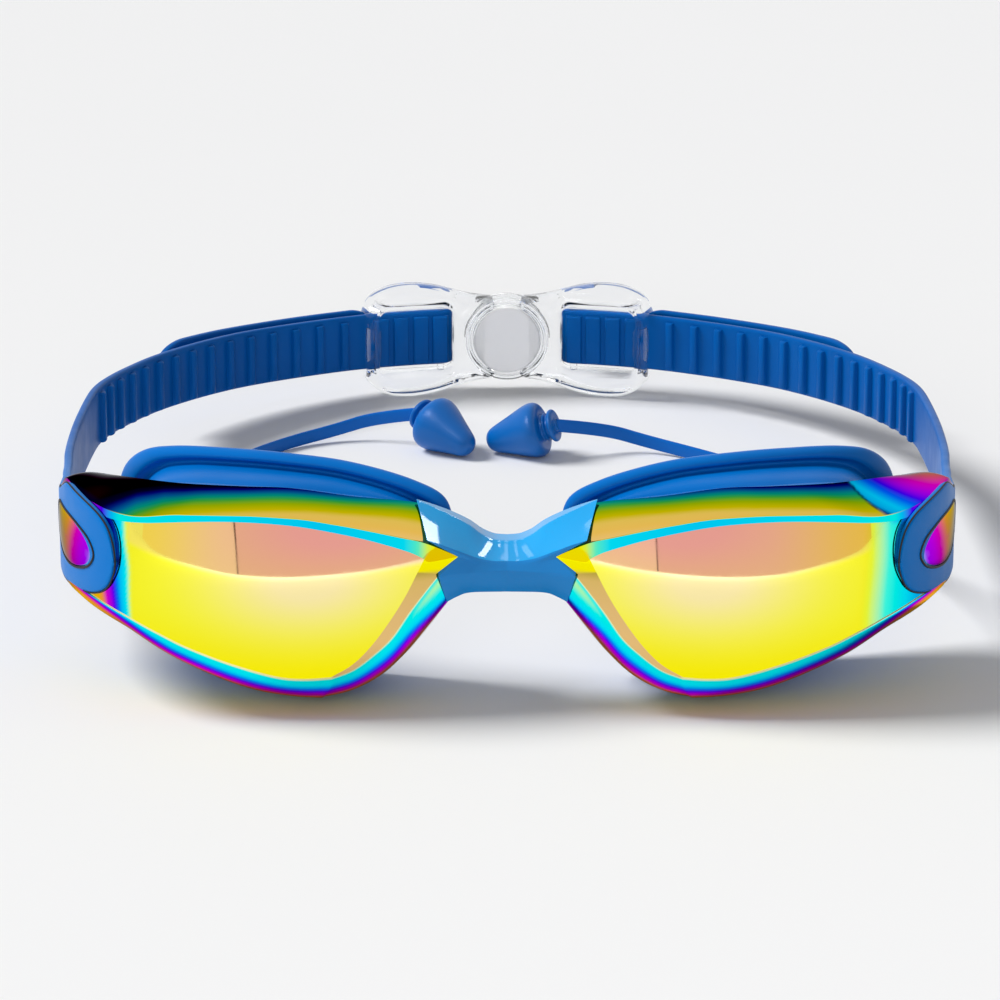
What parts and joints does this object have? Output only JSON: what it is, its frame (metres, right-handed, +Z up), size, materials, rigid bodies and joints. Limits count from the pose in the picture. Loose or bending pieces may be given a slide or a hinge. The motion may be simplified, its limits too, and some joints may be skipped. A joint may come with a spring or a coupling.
{
  "type": "swim goggles",
  "caption": "Swim goggles with mirrored one-piece lenses, silicone eye seals, clip-in nose bridge, ribbed head strap with a clear buckle, and tethered ear plugs.",
  "frame": {"origin": "centre of the goggles' footprint on the surface they lie on, measured without the ear plugs and leads", "axes": "+Z up, +X to the wearer's left, +Y from the lenses towards the buckle at the back of the head; the YZ plane is the plane of symmetry of lenses and strap"},
  "size_m": [0.1728, 0.2222, 0.0417],
  "materials": {
    "mirror_lens": "mirror-coated polycarbonate, rainbow sheen",
    "seal_silicone": "satin silicone",
    "bridge_plastic": "glossy soft plastic",
    "strap_silicone": "satin silicone",
    "clear_plastic": "clear polycarbonate",
    "plug_silicone": "matt silicone"
  },
  "bodies": {
    "goggle_front": {"left_lens": "mirror_lens", "right_lens": "mirror_lens", "left_gasket": "seal_silicone", "right_gasket": "seal_silicone", "nose_bridge": "bridge_plastic", "left_strap_pad": "strap_silicone", "right_strap_pad": "strap_silicone", "left_lead_anchor": "plug_silicone", "right_lead_anchor": "plug_silicone", "left_lead": "plug_silicone", "right_lead": "plug_silicone", "left_earplug": "plug_silicone", "right_earplug": "plug_silicone"},
    "head_strap": {"left_strap": "strap_silicone", "right_strap": "strap_silicone", "clasp_ring_half": "clear_plastic", "clasp_boss_half": "clear_plastic"},
    "button": {"clasp_button": "clear_plastic"}
  },
  "joints": [
    {"name": "strap_swing", "type": "hinge", "parent": "goggle_front", "child": "head_strap", "pos_m": [0, -0.05355, 0.0233], "axis": [1, 0, 0], "range_deg": [-25, 40]},
    {"name": "button_press", "type": "slide", "parent": "head_strap", "child": "button", "axis": [0, -1, 0], "range_m": [0, 0.0012], "stiffness_N_per_m": 800}
  ]
}
